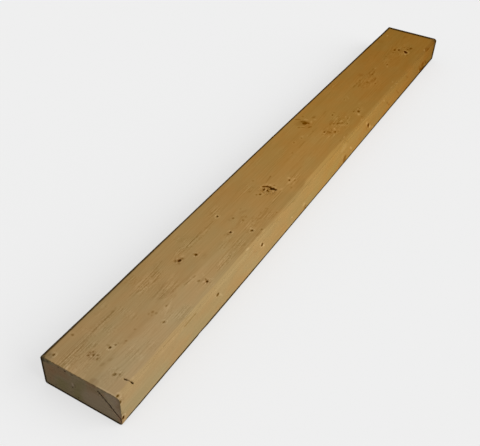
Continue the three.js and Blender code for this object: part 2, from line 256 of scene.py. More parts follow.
EDGE_STAINS = [
    (1.5, 26, 5, 14, 0.35), (232, 6.6, 18, 1.4, 0.25, 38), (828, 1, 14, 3, 0.3),
    (690, 18, 24, 2.4, 0.3, 35), (728, 8, 22, 3, 0.25, 30), (540, 24, 12, 7, 0.12, 35),
    (470, 31, 10, 4, 0.12, 20), (157, 9, 10, 9, 0.15), (250, 10.4, 9, 8, 0.15),
    (363.4, 31.4, 6, 5.6, 0.9), (486, 28.6, 10, 11, 0.95, 10), (799, 21, 18, 3.6, 0.25, 42),
    (809, 29.6, 23, 7, 0.6, 35), (822, 32, 34, 8, 1, 12), (816, 21.5, 14, 8, 0.55, 20),
    (833, 24, 20, 3.5, 0.45, 35), (834, 1.2, 16, 1.8, 0.6), (860, 1.4, 32, 1.6, 0.3),
    (644, 16, 12, 2.4, 0.55, 35), (654, 23, 12, 2.4, 0.5, 35), (567, 17, 12, 12, 0.3, 30),
]

# Grey dirt and painted shade: on the bruised corners of the top face, and on the two faces beside
# them.
# At the split end's left-hand corner the grey is painted shade, where the arris turns away from the
# light.
TOP_DIRT_AND_SHADE = [(1, 1.8, 3.6, 8, 0.8), (3, 5, 12, 13, 0.3), (874, 87.6, 11, 3.4, 0.9)]
SIDE_DIRT_AND_SHADE = [(870, 5, 14, 11, 0.5)]
END_DIRT_AND_SHADE = [(1.5, 1.5, 7, 7, 0.8)]

# The split end's own tints, by v and down: redder where above nought, greener below it.
END_TINTS = [
    (80, 22.5, 13, 3, 0.3, 48), (10, 2, 9, 4, -0.5, 10), (58.5, 1.8, 14, 2.6, 0.45),
    (86.6, 29, 5, 12, 0.75), (82.5, 27, 5, 6, 0.3, 40), (85, 12, 5, 18, 0.3), (19, 8, 26, 16, 0.3),
    (9, 20, 14, 22, 0.26), (55, 11, 20, 16, 0.22), (70, 8, 4, 8, 0.3, 45),
    (21, 25, 14, 18, -0.32, 20), (43, 20, 12, 36, -0.3, 20), (77, 9, 8, 8, -0.35),
    (82, 29, 6, 6, -0.2),
]
# Paler places on it: the wood between the split and the corner, and some flecks.
END_PALE = [
    (79, 7, 16, 13, 0.65, 40), (35.4, 16.8, 2, 4.2, 1), (68, 24, 48, 28, 0.42),
    (72, 17, 2.4, 6, 0.3, -45), (33.4, 5, 2.6, 1.6, 0.4), (66.6, 2.4, 1.8, 3.2, 0.5, 30),
    (63.2, 10.6, 1.6, 6, 0.3, 30),
]

# The broken knot: its middle, its rim, the crescent that fell out and the crumbled pits.
KNOT_X, KNOT_V, KNOT_RADIUS = 327.5, 52.0, 9.8
CRESCENT_WIDTH, CRESCENT_DEPTH, CRESCENT_ASIDE = 2.4, 2.6, 4
CRESCENT_HALF_ANGLE, CRESCENT_TURN = math.radians(60), -6
# The share of its depth that the crescent has on its left-hand half. Then how far along the plank
# from the knot's middle the rough wood in it has its own, and how deep that lies.
LEFT_SHARE, ROUGH_ASIDE, ROUGH_DEPTH = 0.25, 2.5, 0.35
KNOT_PITS = [
    (328.6, 47.8, 4.8, 2, 0.9, -10, 0.8), (329, 52.2, 3.6, 1.6, 0.9, -15, 0.6),
    (328, 54.4, 3, 1.5, 0.7, -15, 0.4), (333.4, 44.8, 3.6, 2, 0.85, 50, 0.6),
    (335.8, 47.8, 5, 2.2, 0.95, 55, 0.8), (337.6, 51.6, 3, 1.8, 0.7, 70, 0.7),
    (335, 54.8, 4.8, 3.2, 1, 10, 2.4), (335.8, 56.8, 3.6, 4, 1, 10, 2.8),
    (335.8, 59.8, 3, 2.6, 1, 0, 3), (329.6, 57.4, 2.2, 1.2, 0.4, 0, 0.2),
]

# Cracks across the grain of the top face: x, v, length, mouth, turn from across the grain, depth.
CROSS_CRACKS = [
    (19.6, 79.8, 5.6, 2.2, -8, 2), (19.8, 86.4, 5, 2, 6, 2), (19.9, 83.2, 4, 1, -4, 1.2),
]

# The split in the split end, as distances from the left-hand edge and below the top face. It gets
# shallower between two distances from the left-hand edge, from the first share to the second.
SPLIT_LINE = [(65.2, 6.7), (69, 10.8), (73.5, 15.2), (79, 21.2), (84, 26.3), (86.8, 29.6), (89, 33)]
SPLIT_HALF_MOUTH, SPLIT_DEPTH = 1.7, 5.0
SPLIT_SHALLOWS = [(81, 87), (1.0, 0.45)]
# The wedge of wood between the split and the corner is set back, fully from this far off it.
WEDGE_SETBACK, WEDGE_RUN = 0.7, 9
# How much steeper than a plain V the walls of the split and of the cross cracks are.
SPLIT_STEEP, CRACK_STEEP = 1.4, 1.25

# A corner knocked off: which corner, and how far the break runs along x, across and down.
CHIPS = [
    ((0, 1, 1), (2.4, 2.8, 2.8)), ((0, 0, 1), (3.2, 2.6, 3.4)), ((1, 1, 1), (1, 1.2, 1)),
    ((1, 0, 1), (3, 4.6, 3.2)), ((1, 0, 0), (1.6, 2.4, 2.2)),
]

# How worn each arris is, as its radius at places along the plank.
ARRIS_AT_X = [0, 90, 180, 300, 450, 620, 850]
LEFT_TOP_RADIUS = [2.6, 2.4, 2.0, 1.5, 1.1, 1.8, 3.0]
RIGHT_LOW_RADIUS = [4.4, 3.0, 1.4, 1.6, 1.8, 2.2, 2.6]
OTHER_RADIUS = [2.6, 2.4, 2.2, 2.0, 1.8, 2.0, 2.6]


def all_marks(top, edge=(), end=()):
    """One Mark for each row of each table."""
    tables = ((TOP, top), (EDGE, edge), (END, end))
    return [Mark(face, *row) for face, rows in tables for row in rows]


marks = all_marks(TOP_KNOTS + KNOT_PITS, EDGE_KNOTS, END_KNOTS)
stains = all_marks(TOP_STAINS, EDGE_STAINS)
lights = all_marks(TOP_LIGHTS, EDGE_LIGHTS)

# ---- smooth noise for shapes

# Whole numbers of no meaning, which scatter the noise's cells.
CELL_STEPS, SEED_STEP = np.array([127, 311, 74701], dtype=np.int64), 9176
SCATTER, HASH_TOP = 1274126177, 0xFFFFFF


def hashed(cells, seed):
    """A repeatable number from 0 to 1 for each row of whole numbers."""
    mixed = cells.astype(np.int64) @ CELL_STEPS + seed * SEED_STEP
    mixed = (mixed ^ (mixed >> 13)) * SCATTER
    mixed = (mixed ^ (mixed >> 16)) & HASH_TOP
    return mixed / HASH_TOP


def smooth_noise(points, size, seed):
    """Value noise from -1 to 1 with a cell of the given size, or three sizes."""
    place = points / np.asarray(size, dtype=float)
    cell = np.floor(place)
    part = place - cell
    part = part * part * (3 - 2 * part)
    total = np.zeros(len(points))
    for corner in np.ndindex(2, 2, 2):
        weight = np.prod(np.where(corner, part, 1 - part), axis=1)
        total += weight * hashed(cell + corner, seed)
    return total * 2 - 1


# Unevenness in the shapes: its reach, in mm or as a share of a radius or a depth, the size of its
# waves in mm, and a seed.
ARRIS_LONG, ARRIS_SHORT = (0.12, 60, 11), (0.08, 14, 12)
RIM_COARSE, RIM_FINE = (0.35, 1.6, 21), (0.2, 0.8, 22)
CRESCENT_RIM, KNOT_FLOOR = (0.4, 1.5, 31), (ROUGH_DEPTH, 1.7, 32)
CRACK_WANDER, SPLIT_WANDER = (0.15, 1.3, 41), (0.15, 2.2, 51)
SAW_RIPPLE, ARRIS_KNOCKS = (0.12, (50, 30, 1.6), 52), (1, (9, 50, 50), 61)
CHIP_FACE, PLANER_WAVE = (0.12, 1.1, 71), (0.06, (70, 22, 22), 81)
PALE_WANDER = (1.6, (38, 200, 200), 91)


def uneven(points, kind):
    """How far one kind of unevenness moves each point, either way."""
    reach, size, seed = kind
    return reach * smooth_noise(points, size, seed)


def smoothstep(low, high, value):
    """0 up to low, 1 from high, and smooth between."""
    t = np.clip((value - low) / (high - low), 0, 1)
    return t * t * (3 - 2 * t)


# ---- the plank's mesh

# Grid lines close together near the ends and the arrises, and the steps between them elsewhere.
ARRIS_BAND = 5.0
ARRIS_LINES = [0, 0.35, 0.7, 1.1, 1.6, 2.4, 3.5, ARRIS_BAND]
END_LINES = [0, 0.25, 0.6, 1.2, 2.2, 3.6]
LONG_STEP, WIDE_STEP, TALL_STEP = 3.0, 2.1, 2.2
# Each side of the box, as its axis and its first or last index, and what counts as nothing in mm.
SIDES = [(axis, side) for axis in range(3) for side in (0, -1)]
EPS = 1e-4

# How fine the mesh gets round each kind of mark, and how far past it. A knot this deep counts as
# open, a stain has to be this dark, a light this narrow, and each piece of the split is made fine
# at this many places.
OPEN_KNOT_MESH, KNOT_MESH, STAIN_MESH, LIGHT_MESH = 0.45, 0.7, 1.2, 0.9
CRACK_MESH, SPLIT_MESH, CORNER_MESH, END_MESH = 0.4, 0.3, 0.6, 1.1
PAST_KNOT, PAST_LIGHT, PAST_CRACK, PAST_SPLIT, PAST_CORNER = 1.2, 0.6, 1.0, 1.8, 7
OPEN_FROM, DARK_STAIN, NARROW_LIGHT, SPLIT_STOPS = 0.8, 0.3, 2, 8
# How much longer than that an edge may be, and how often edges are halved at most.
LONGEST_EDGE, REFINE_ROUNDS = 1.35, 4


def grid_lines(length, step, ends):
    """Positions from 0 to length: the given ones at both ends and even steps between."""
    ends = np.array(ends)
    inner = length - 2 * ends[-1]
    count = max(1, round(inner / step))
    middle = ends[-1] + inner * np.arange(1, count) / count
    return np.concatenate([ends, middle, length - ends[::-1]])


def box_grid():
    """A closed box of quads as vertices, in mm from the low corner, and faces."""
    xs = grid_lines(LENGTH, LONG_STEP, END_LINES)
    ys = grid_lines(WIDTH, WIDE_STEP, ARRIS_LINES)
    zs = grid_lines(THICK, TALL_STEP, ARRIS_LINES)
    counts = (len(xs), len(ys), len(zs))
    outer = np.zeros(counts, dtype=bool)
    for axis, side in SIDES:
        np.moveaxis(outer, axis, 0)[side] = True
    index = np.full(counts, -1)
    index[outer] = np.arange(outer.sum())
    i, j, k = np.nonzero(outer)

    faces = []
    for axis, side in SIDES:
        sheet = np.take(index, side, axis=axis)
        a, b = sheet[:-1, :-1], sheet[1:, :-1]
        c, d = sheet[1:, 1:], sheet[:-1, 1:]
        outward = (side == -1) != (axis == 1)
        quad = (a, b, c, d) if outward else (a, d, c, b)
        faces.append(np.stack(quad, axis=-1).reshape(-1, 4))
    return np.stack([xs[i], ys[j], zs[k]], axis=1), np.concatenate(faces)


def refine(bm, zones):
    """Splits the quads inside each zone (centre, radius, size) until they are fine enough."""
    for _ in range(REFINE_ROUNDS):
        chosen = set()
        coords = np.array([v.co[:] for v in bm.verts])
        near = {}
        for centre, radius, size in zones:
            inside = np.nonzero(np.sum((coords - centre) ** 2, axis=1) < radius ** 2)[0]
            for index in inside:
                near[index] = min(near.get(index, math.inf), size)
        bm.verts.ensure_lookup_table()
        for index, size in near.items():
            for edge in bm.verts[index].link_edges:
                other = edge.other_vert(bm.verts[index]).index
                if other in near and edge.calc_length() > LONGEST_EDGE * size:
                    chosen.add(edge)
        if not chosen:
            break
        bmesh.ops.subdivide_edges(bm, edges=list(chosen), cuts=1, use_grid_fill=True)
        bm.verts.index_update()


def refine_zones():
    """Where the mesh has to be fine, as centre, radius and size, from the box's low corner."""
    zones = []
    for mark in marks:
        size = OPEN_KNOT_MESH if mark.pit >= OPEN_FROM else KNOT_MESH
        zones.append((mark.centre, max(mark.half) + PAST_KNOT, size))
    for mark in stains:
        if mark.dark > DARK_STAIN:
            zones.append((mark.centre, max(mark.half), STAIN_MESH))
    for mark in lights:
        if min(mark.half) < NARROW_LIGHT:
            zones.append((mark.centre, max(mark.half) + PAST_LIGHT, LIGHT_MESH))
    for x, v, length, *_ in CROSS_CRACKS:
        zones.append((place_on(TOP, x, v), length / 2 + PAST_CRACK, CRACK_MESH))
    crescent = place_on(TOP, KNOT_X + CRESCENT_ASIDE, KNOT_V)
    zones.append((crescent, KNOT_RADIUS + PAST_CRACK, OPEN_KNOT_MESH))
    for start, end in zip(SPLIT_LINE, SPLIT_LINE[1:]):
        for part in np.linspace(0, 1, SPLIT_STOPS):
            place = [s + (e - s) * part for s, e in zip(start, end)]
            zones.append((place_on(END, *place), PAST_SPLIT, SPLIT_MESH))
    zones += [(place_on(END, v, 0), PAST_CORNER, CORNER_MESH) for v in (0, WIDTH)]
    zones.append((place_on(END, WIDTH / 2, THICK / 2), WIDTH / 2, END_MESH))
    return [(centre - LOW, radius, size) for centre, radius, size in zones]


# The long arrises, as (y, z) sides: 1 is high and -1 low.
ARRISES = [(1, 1), (-1, 1), (-1, -1), (1, -1)]
LEFT_TOP, RIGHT_LOW = 0, 2
# How far apart in the noise two arrises lie, so that they are uneven in different ways.
ARRIS_APART = 40.0


def arris_radius(x, corner):
    """The eased radius of one of the four long arrises at x, a little uneven along its length."""
    radii = {LEFT_TOP: LEFT_TOP_RADIUS, RIGHT_LOW: RIGHT_LOW_RADIUS}.get(corner, OTHER_RADIUS)
    at = np.stack([x, np.full_like(x, ARRIS_APART * corner), np.zeros_like(x)], axis=1)
    share = 1 + uneven(at, ARRIS_LONG) + uneven(at, ARRIS_SHORT)
    return np.interp(x, ARRIS_AT_X, radii) * share


def round_off(flat):
    """Rounds box points, in mm from the low corner. Returns them, their outward normals and which
    are on the sawn ends."""
    size = np.array([LENGTH, WIDTH, THICK])
    points = flat.copy()
    outward = (flat > size - EPS).astype(float) - (flat < EPS).astype(float)
    normals = outward * (0, 1, 1)
    for corner, signs in enumerate(np.array(ARRISES)):
        edge = np.where(signs > 0, size[1:], 0)
        gap = signs * (edge - flat[:, 1:])
        zone = np.all(gap < ARRIS_BAND - EPS, axis=1)
        p, q = (1 - gap[zone] / ARRIS_BAND).T
        reach = np.maximum(p, q)
        radius = arris_radius(flat[zone, 0], corner)
        flat_run = ARRIS_BAND - radius
        run = np.minimum(p, q) / reach * (flat_run + radius * math.pi / 4)
        angle = np.maximum(run - flat_run, 0) / radius
        side, face = np.sin(angle), np.cos(angle)
        main = np.where(run < flat_run, run, flat_run + radius * side)
        low = ARRIS_BAND - radius * (1 - face)
        along_y = q >= p
        place = np.where(along_y, (main, low), (low, main)).T
        points[zone, 1:] = edge - signs * ARRIS_BAND + signs * reach[:, None] * place
        normals[zone, 1:] = signs * np.where(along_y, (side, face), (face, side)).T

    depth = np.minimum(flat, size - flat)
    plain = np.sum(np.abs(normals), axis=1) < EPS
    cap = (depth[:, 0] < EPS) & (plain | (np.min(depth[:, 1:], axis=1) > EPS))
    normals[cap] = outward[cap] * (1, 0, 0)
    return points, normals, cap


def distance_to_line(points, line):
    """How far each 2-D point lies from a chain of straight pieces, and the side it lies on."""
    best = np.full(len(points), math.inf)
    side = np.zeros(len(points))
    for start, end in zip(np.array(line)[:-1], np.array(line)[1:]):
        run = end - start
        share = np.clip(((points - start) @ run) / (run @ run), 0, 1)
        offset = points - (start + share[:, None] * run)
        away = np.hypot(*offset.T)
        closer = away < best
        best = np.where(closer, away, best)
        turn = run[0] * offset[:, 1] - run[1] * offset[:, 0]
        side = np.where(closer, np.sign(turn), side)
    return best, side


# How wide an open knot's sloping wall is, as a share of its half width and at least in mm, and
# how ragged the rim of a small one is.
WALL_SHARE, LEAST_WALL, RAGGED_SHARE = 0.75, 0.5, 0.4


def pit_depths(points, skin):
    """The depth of each open knot, in from the face it is in."""
    depth = np.zeros(len(points))
    ragged = uneven(points, RIM_COARSE) + uneven(points, RIM_FINE)
    for mark in marks:
        if mark.pit > 0:
            rim = mark.rim(points) + ragged * min(1.0, min(mark.half) * RAGGED_SHARE)
            wall = max(LEAST_WALL, min(mark.half) * WALL_SHARE)
            hollow = mark.pit * (1 - smoothstep(-wall, 0.15, rim))
            depth = np.maximum(depth, np.where(skin, hollow, 0))
    return depth


def crescent_depths(points, skin):
    """The crescent that fell out of the broken knot, and the rough wood inside its rim."""
    knot = Mark(TOP, KNOT_X, KNOT_V, 2 * KNOT_RADIUS, 2 * KNOT_RADIUS, turn=CRESCENT_TURN)
    a, b, _ = knot.local(points)
    half_chord = KNOT_RADIUS * math.sin(CRESCENT_HALF_ANGLE)
    rise = KNOT_RADIUS * (1 - math.cos(CRESCENT_HALF_ANGLE)) - CRESCENT_WIDTH
    inner_radius = (half_chord ** 2 + rise ** 2) / (2 * rise)
    inner_centre = KNOT_RADIUS * math.cos(CRESCENT_HALF_ANGLE) + rise - inner_radius
    ragged = uneven(points, CRESCENT_RIM)
    from_rim = KNOT_RADIUS - np.hypot(a, b) + ragged
    from_core = np.hypot(a - inner_centre, b) - inner_radius + ragged
    inside = np.minimum(from_rim, from_core)
    share = LEFT_SHARE + (1 - LEFT_SHARE) * smoothstep(-3, 3, b)
    hollow = CRESCENT_DEPTH * share * smoothstep(-0.1, 1.1, inside)
    offset = points - knot.centre
    in_knot = KNOT_RADIUS - np.hypot(offset[:, 0] - ROUGH_ASIDE, offset[:, 1])
    rough = smoothstep(0, 2, in_knot) * (ROUGH_DEPTH + uneven(points, KNOT_FLOOR))
    top = skin & (points[:, 2] > HIGH[2] - 0.5)
    return np.where(top, np.maximum(hollow, rough), 0)


def crack_depths(points, skin):
    """The short cracks across the grain of the top face."""
    depth = np.zeros(len(points))
    for x, v, length, mouth, turn, deepest in CROSS_CRACKS:
        a, b, _ = Mark(TOP, x, v, length, mouth, turn=90 + turn).local(points)
        b = b + uneven(points, CRACK_WANDER)
        taper = np.clip(1 - (a / (length / 2)) ** 2, 0, 1)
        width = mouth / 2 * np.sqrt(taper) + 1e-6
        cut = deepest * taper * np.clip(CRACK_STEEP * (1 - np.abs(b) / width), 0, 1)
        depth = np.maximum(depth, cut)
    return np.where(skin & (points[:, 2] > HIGH[2] - 4), depth, 0)


def end_depths(points, cap):
    """The split, the wedge beside it and the saw's ripples, into the split end."""
    across = np.stack([HIGH[1] - points[:, 1], HIGH[2] - points[:, 2]], axis=1)
    away, side = distance_to_line(across, SPLIT_LINE)
    off = np.abs(away + uneven(points, SPLIT_WANDER)) / SPLIT_HALF_MOUTH
    groove = SPLIT_DEPTH * np.clip(SPLIT_STEEP - SPLIT_STEEP * off, 0, 1)
    groove *= np.interp(across[:, 0], *SPLIT_SHALLOWS)
    wedge = WEDGE_SETBACK * smoothstep(0.2, WEDGE_RUN, away) * (side < 0)
    past_start = across[:, 0] > SPLIT_LINE[0][0] - 2
    saw = SAW_RIPPLE[0] + uneven(points, SAW_RIPPLE)
    depth = np.where(past_start, np.maximum(groove, wedge), groove) + saw
    return np.where(cap & (points[:, 0] < 0), depth, np.where(cap, saw, 0))


# How deep a knock goes, and how far apart in the noise the arrises lie.
KNOCK_DEPTH, KNOCKS_APART = 0.5, 30


def arris_dents(points, normals, skin):
    """Knocks along the four long arrises."""
    slanting = skin & (np.abs(normals[:, 1] * normals[:, 2]) > 0.12)
    apart = np.sign(points - (LOW + HIGH) / 2) * (0, KNOCKS_APART, KNOCKS_APART)
    at = points * (1, 0, 0) + apart
    knocks = smoothstep(0.45, 0.95, uneven(at, ARRIS_KNOCKS))
    return np.where(slanting, KNOCK_DEPTH * knocks, 0)


def knock_off_corners(points):
    """Moves what lies beyond each break back onto it."""
    for corner, reach in CHIPS:
        at = np.where(corner, HIGH, LOW)
        inward = np.where(corner, -1.0, 1.0) / np.array(reach)
        scale = np.linalg.norm(inward)
        beyond = 1 - (points - at) @ inward
        rough = np.abs(uneven(points, CHIP_FACE))
        push = np.where(beyond > 0, beyond / scale + rough, 0)
        points += push[:, None] * inward / scale
    return points


# How much the sawn ends' own edges are eased, and the depth in the end that counts as a cavity.
END_EASE, CAVITY_FROM = 0.3, 0.6


def shape_plank(flat):
    """Rounds, dents and cracks the box points. Returns them, how deep each lies in a cavity and
    which are on the sawn ends."""
    points, normals, cap = round_off(flat)
    points += LOW
    skin = ~cap
    makers = (pit_depths, crescent_depths, crack_depths)
    relief = np.maximum.reduce([maker(points, skin) for maker in makers])
    from_end = np.minimum(flat[:, 0], LENGTH - flat[:, 0])
    short = np.clip(END_EASE - from_end, 0, END_EASE)
    ease = np.where(skin, END_EASE - np.sqrt(END_EASE ** 2 - short ** 2), 0)
    waves = (PLANER_WAVE[0] + uneven(points, PLANER_WAVE)) * skin
    dents = arris_dents(points, normals, skin)
    in_end = end_depths(points, cap)
    inward = relief + ease + waves + dents + in_end
    points -= inward[:, None] * normals
    return knock_off_corners(points), relief + np.maximum(in_end - CAVITY_FROM, 0), cap


def add_object(name, data):
    """A new object in the scene."""
    made = bpy.data.objects.new(name, data)
    bpy.context.collection.objects.link(made)
    return made


def build_plank():
    """The plank as one mesh, with its map and its fields."""
    verts, faces = box_grid()
    bm = bmesh.new()
    for co in verts:
        bm.verts.new(co)
    bm.verts.ensure_lookup_table()
    bm.verts.index_update()
    for quad in faces:
        bm.faces.new([bm.verts[i] for i in quad])
    refine(bm, refine_zones())
    bmesh.ops.triangulate(bm, faces=bm.faces[:])
    bm.verts.index_update()

    flat = np.array([v.co[:] for v in bm.verts])
    points, cavity, cap = shape_plank(flat)
    mesh = bpy.data.meshes.new("plank_timber")
    bm.to_mesh(mesh)
    bm.free()
    mesh.vertices.foreach_set("co", (points * MM).ravel())
    mesh.update()
    write_map(mesh, flat)
    write_fields(mesh, points, cavity, cap)
    return add_object("plank_timber", mesh)


# The gap between the map's pieces, how much of its width an end takes, and where the second starts.
MAP_MARGIN, END_SHARE, SECOND_END = 0.01, 0.45, 0.5


def write_map(mesh, flat):
    """The unwrapped layout: each long face is a strip the length of the map."""
    loop_vert = np.empty(len(mesh.loops), dtype=np.int64)
    mesh.loops.foreach_get("vertex_index", loop_vert)
    corner = flat[loop_vert.reshape(-1, 3)]
    a, b, c = (corner[:, n] for n in range(3))
    facing = np.cross(b - a, c - a)
    main = np.argmax(np.abs(facing), axis=1)
    up = facing[np.arange(len(corner)), main] > 0
    # Four strips, and a row with both ends, lie one above the other.
    tall = (1 - 7 * MAP_MARGIN) / (2 * WIDTH + 3 * THICK)
    wide = (1 - 2 * MAP_MARGIN) / LENGTH
    layout = np.zeros((len(corner), 3, 2))
    row = MAP_MARGIN
    for axis, upward, measure, size in [
        (2, True, 1, WIDTH), (1, False, 2, THICK), (2, False, 1, WIDTH), (1, True, 2, THICK),
    ]:
        chosen = (main == axis) & (up == upward)
        layout[chosen, :, 0] = MAP_MARGIN + corner[chosen, :, 0] * wide
        layout[chosen, :, 1] = row + corner[chosen, :, measure] * tall
        row += size * tall + MAP_MARGIN
    for upward, start in ((False, MAP_MARGIN), (True, SECOND_END)):
        chosen = (main == 0) & (up == upward)
        layout[chosen, :, 0] = start + corner[chosen, :, 1] * (END_SHARE / WIDTH)
        layout[chosen, :, 1] = row + corner[chosen, :, 2] * tall
    mesh.uv_layers.new(name="OFBake").data.foreach_set("uv", layout.ravel())


# How pale the top face has gone: along its right-hand side, which fades in from a v over a width,
# and past two soft boundaries, each as from x, to x, v and strength.
PALE_AT_X = [0, 60, 150, 215, 300, 370, 450, 600]
PALE_AT_RIGHT = [0.25, 0.30, 0.32, 0.20, 0.18, 0.04, 0.02, 0.0]
PALE_FROM, PALE_RUN = 5, 78
PALE_BANDS = [(-9, 215, 58.5, 0.20), (338, 492, 44.5, 0.18)]


def soft_marks(points, rows, combine=np.maximum, blur=0.25):
    """The strength of soft-edged marks at each point. The blur is a share of a mark's width."""
    total = np.zeros(len(points))
    for mark in rows:
        soft = 0.7 + blur * min(mark.half)
        total = combine(total, mark.dark * (1 - smoothstep(-soft, soft, mark.rim(points))))
    return total


def paleness(points):
    """How weathered the top face is at each point."""
    x, v = points[:, 0] - LOW[0], HIGH[1] - points[:, 1]
    pale = np.interp(x, PALE_AT_X, PALE_AT_RIGHT) * np.clip((v - PALE_FROM) / PALE_RUN, 0, 1)
    wander = uneven(points, PALE_WANDER)
    for start, end, boundary, strength in PALE_BANDS:
        inside = smoothstep(start - 6, start + 8, x) * (1 - smoothstep(end - 14, end + 8, x))
        pale = pale + strength * inside * smoothstep(-1.6, 1.6, v + wander - boundary)
    return pale * (points[:, 2] > HIGH[2] - OFF_FACE)


# How far in from each of the box's twelve edges the painted shade along the arrises reaches,
# in mm. First those along x, by y side and z side, low side first; then those along y, by x side
# and z side; then along z, by x side and y side.
ARRIS_SHADE_REACH = np.array([
    [[4.9, 0.0], [3.5, 3.6]],
    [[3.0, 0.8], [5.0, 5.4]],
    [[0.5, 2.6], [8.5, 4.0]],
])


def painted_shade_reach(points):
    """How far in the painted shade along the arrises reaches from the nearest of the box's edges.
    """
    below, above = points - LOW, HIGH - points
    along = np.argmax(np.minimum(below, above), axis=1)
    side = (above < below).astype(int)
    first = np.where(along == 0, side[:, 1], side[:, 0])
    second = np.where(along == 2, side[:, 1], side[:, 2])
    return ARRIS_SHADE_REACH[along, first, second]


# How much narrower, in mm, a knot that opens on a side is where it runs out on the sawn end.
SIDE_KNOT_ON_END = 1.5
# How far, in mm, a fully dark knot pushes its rim out over a paler one, and shifts the rings. They
# bend this many mm round it, and this many times its half length. Beyond a limit, no knot counts.
DARK_REACH, BEND_PAST, BEND_SHARE, KNOT_LIMIT = 1.2, 1.5, 1.6, 20.0


def write_fields(mesh, points, cavity, cap):
    """The measured marks as numbers on the mesh, for the material to draw."""
    rim = np.full(len(points), KNOT_LIMIT)
    dark = np.zeros(len(points))
    shift = np.zeros(len(points))
    for mark in marks:
        hidden = cap & (mark.face != END)
        away = mark.rim(points) + np.where(hidden, SIDE_KNOT_ON_END, 0)
        score = away - DARK_REACH * mark.dark
        nearer = score < rim
        dark = np.where(nearer, mark.dark, dark)
        rim = np.where(nearer, score, rim)
        reach = BEND_PAST + BEND_SHARE * max(mark.half)
        shift += DARK_REACH * mark.dark * np.exp(-np.clip(away, 0, None) ** 2 / reach ** 2)
    fields = {
        "knot_rim": rim + DARK_REACH * dark,
        "knot_dark": dark,
        "ring_shift": shift,
        "stain": soft_marks(points, stains),
        "dirt_and_shade": soft_marks(points, all_marks(TOP_DIRT_AND_SHADE, SIDE_DIRT_AND_SHADE, END_DIRT_AND_SHADE)),
        "painted_shade_reach": painted_shade_reach(points),
        "lighten": soft_marks(points, lights),
        "roughness": soft_marks(points, all_marks(ROUGH_PATCHES), blur=0.6),
        "pale": paleness(points),
        "end_tint": soft_marks(points, all_marks([], end=END_TINTS), np.add, blur=0.7),
        "end_pale": soft_marks(points, all_marks([], end=END_PALE)),
        "cavity": cavity,
        "end_grain": cap.astype(float),
    }
    for name, values in fields.items():
        layer = mesh.attributes.new(name, "FLOAT", "POINT")
        layer.data.foreach_set("value", values.astype(np.float32))


# ---- shader nodes

# Which sockets of a Mix node are its share, its two colours and its result, and which output of a
# noise texture is its colour.
MIX_SHARE, MIX_FIRST, MIX_SECOND, MIX_RESULT, NOISE_COLOUR = 0, 6, 7, 2, 1


def srgb(red, green, blue):
    """A colour given as it looks, 0 to 255, as the linear numbers that Blender takes."""
    parts = [c / 255 for c in (red, green, blue)]
    return [c / 12.92 if c <= 0.04045 else ((c + 0.055) / 1.055) ** 2.4 for c in parts] + [1.0]


def sign(operation):
    """A sign between two values, as a maths node."""
    return lambda first, second: first.nodes.math(operation, first, second)


class Value:
    """A node's output, to write sums with. Each sign in them makes one maths node."""

    def __init__(self, nodes, socket):
        self.nodes, self.socket = nodes, socket

    def __rsub__(self, other):
        return self.nodes.math("SUBTRACT", other, self)

    def __abs__(self):
        return self.nodes.math("ABSOLUTE", self)

    __add__, __sub__ = sign("ADD"), sign("SUBTRACT")
    __mul__, __truediv__, __pow__ = sign("MULTIPLY"), sign("DIVIDE"), sign("POWER")


